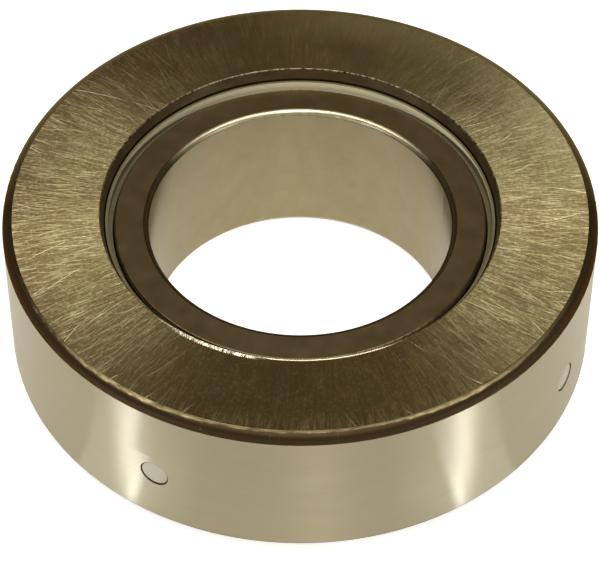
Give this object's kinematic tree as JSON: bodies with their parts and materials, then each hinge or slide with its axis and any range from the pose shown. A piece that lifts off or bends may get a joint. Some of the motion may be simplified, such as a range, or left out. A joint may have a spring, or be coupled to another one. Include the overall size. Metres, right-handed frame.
{
  "type": "thrust ball bearing",
  "caption": "Single direction thrust ball bearing with solid rings, a moulded cage and plugged grease holes in the outer ring.",
  "frame": {"origin": "centre of the bore, on the plane of the inner ring's lower face", "axes": "+Z along the axis of rotation, from the inner ring's lower face to the outer ring's upper face"},
  "size_m": [0.088, 0.088, 0.0265],
  "materials": {
    "ground_steel": "ground",
    "honed_steel": "fine ground",
    "polished_steel": "polished",
    "cage_polymer": "moulded",
    "plug_polymer": "moulded"
  },
  "bodies": {
    "housing_side": {"outer_ring": "ground_steel", "plug_1": "plug_polymer", "plug_2": "plug_polymer", "plug_3": "plug_polymer", "plug_4": "plug_polymer"},
    "shaft_side": {"inner_ring": "honed_steel"},
    "cage": {"cage": "cage_polymer"},
    "ball_01": {"ball_01": "polished_steel"},
    "ball_02": {"ball_02": "polished_steel"},
    "ball_03": {"ball_03": "polished_steel"},
    "ball_04": {"ball_04": "polished_steel"},
    "ball_05": {"ball_05": "polished_steel"},
    "ball_06": {"ball_06": "polished_steel"},
    "ball_07": {"ball_07": "polished_steel"},
    "ball_08": {"ball_08": "polished_steel"},
    "ball_09": {"ball_09": "polished_steel"},
    "ball_10": {"ball_10": "polished_steel"},
    "ball_11": {"ball_11": "polished_steel"},
    "ball_12": {"ball_12": "polished_steel"},
    "ball_13": {"ball_13": "polished_steel"},
    "ball_14": {"ball_14": "polished_steel"},
    "ball_15": {"ball_15": "polished_steel"},
    "ball_16": {"ball_16": "polished_steel"}
  },
  "joints": [
    {"name": "inner_spin", "type": "hinge", "parent": "housing_side", "child": "shaft_side", "pos_m": [0, 0, 0.01325], "axis": [0, 0, 1], "continuous": true},
    {"name": "cage_spin", "type": "hinge", "parent": "housing_side", "child": "cage", "pos_m": [0, 0, 0.01325], "axis": [0, 0, 1], "continuous": true},
    {"name": "ball_01_spin", "type": "hinge", "parent": "cage", "child": "ball_01", "pos_m": [0.03261, 0.00649, 0.01325], "axis": [-0.8494, -0.169, 0.5], "continuous": true},
    {"name": "ball_02_spin", "type": "hinge", "parent": "cage", "child": "ball_02", "pos_m": [0.02765, 0.01847, 0.01325], "axis": [-0.7201, -0.4811, 0.5], "continuous": true},
    {"name": "ball_03_spin", "type": "hinge", "parent": "cage", "child": "ball_03", "pos_m": [0.01847, 0.02765, 0.01325], "axis": [-0.4811, -0.7201, 0.5], "continuous": true},
    {"name": "ball_04_spin", "type": "hinge", "parent": "cage", "child": "ball_04", "pos_m": [0.00649, 0.03261, 0.01325], "axis": [-0.169, -0.8494, 0.5], "continuous": true},
    {"name": "ball_05_spin", "type": "hinge", "parent": "cage", "child": "ball_05", "pos_m": [-0.00649, 0.03261, 0.01325], "axis": [0.169, -0.8494, 0.5], "continuous": true},
    {"name": "ball_06_spin", "type": "hinge", "parent": "cage", "child": "ball_06", "pos_m": [-0.01847, 0.02765, 0.01325], "axis": [0.4811, -0.7201, 0.5], "continuous": true},
    {"name": "ball_07_spin", "type": "hinge", "parent": "cage", "child": "ball_07", "pos_m": [-0.02765, 0.01847, 0.01325], "axis": [0.7201, -0.4811, 0.5], "continuous": true},
    {"name": "ball_08_spin", "type": "hinge", "parent": "cage", "child": "ball_08", "pos_m": [-0.03261, 0.00649, 0.01325], "axis": [0.8494, -0.169, 0.5], "continuous": true},
    {"name": "ball_09_spin", "type": "hinge", "parent": "cage", "child": "ball_09", "pos_m": [-0.03261, -0.00649, 0.01325], "axis": [0.8494, 0.169, 0.5], "continuous": true},
    {"name": "ball_10_spin", "type": "hinge", "parent": "cage", "child": "ball_10", "pos_m": [-0.02765, -0.01847, 0.01325], "axis": [0.7201, 0.4811, 0.5], "continuous": true},
    {"name": "ball_11_spin", "type": "hinge", "parent": "cage", "child": "ball_11", "pos_m": [-0.01847, -0.02765, 0.01325], "axis": [0.4811, 0.7201, 0.5], "continuous": true},
    {"name": "ball_12_spin", "type": "hinge", "parent": "cage", "child": "ball_12", "pos_m": [-0.00649, -0.03261, 0.01325], "axis": [0.169, 0.8494, 0.5], "continuous": true},
    {"name": "ball_13_spin", "type": "hinge", "parent": "cage", "child": "ball_13", "pos_m": [0.00649, -0.03261, 0.01325], "axis": [-0.169, 0.8494, 0.5], "continuous": true},
    {"name": "ball_14_spin", "type": "hinge", "parent": "cage", "child": "ball_14", "pos_m": [0.01847, -0.02765, 0.01325], "axis": [-0.4811, 0.7201, 0.5], "continuous": true},
    {"name": "ball_15_spin", "type": "hinge", "parent": "cage", "child": "ball_15", "pos_m": [0.02765, -0.01847, 0.01325], "axis": [-0.7201, 0.4811, 0.5], "continuous": true},
    {"name": "ball_16_spin", "type": "hinge", "parent": "cage", "child": "ball_16", "pos_m": [0.03261, -0.00649, 0.01325], "axis": [-0.8494, 0.169, 0.5], "continuous": true}
  ],
  "couplings": [
    {"joint": "cage_spin", "follows": "inner_spin", "ratio": 0.46241},
    {"joint": "ball_01_spin", "follows": "inner_spin", "ratio": -3.3062},
    {"joint": "ball_02_spin", "follows": "inner_spin", "ratio": -3.3062},
    {"joint": "ball_03_spin", "follows": "inner_spin", "ratio": -3.3062},
    {"joint": "ball_04_spin", "follows": "inner_spin", "ratio": -3.3062},
    {"joint": "ball_05_spin", "follows": "inner_spin", "ratio": -3.3062},
    {"joint": "ball_06_spin", "follows": "inner_spin", "ratio": -3.3062},
    {"joint": "ball_07_spin", "follows": "inner_spin", "ratio": -3.3062},
    {"joint": "ball_08_spin", "follows": "inner_spin", "ratio": -3.3062},
    {"joint": "ball_09_spin", "follows": "inner_spin", "ratio": -3.3062},
    {"joint": "ball_10_spin", "follows": "inner_spin", "ratio": -3.3062},
    {"joint": "ball_11_spin", "follows": "inner_spin", "ratio": -3.3062},
    {"joint": "ball_12_spin", "follows": "inner_spin", "ratio": -3.3062},
    {"joint": "ball_13_spin", "follows": "inner_spin", "ratio": -3.3062},
    {"joint": "ball_14_spin", "follows": "inner_spin", "ratio": -3.3062},
    {"joint": "ball_15_spin", "follows": "inner_spin", "ratio": -3.3062},
    {"joint": "ball_16_spin", "follows": "inner_spin", "ratio": -3.3062}
  ]
}
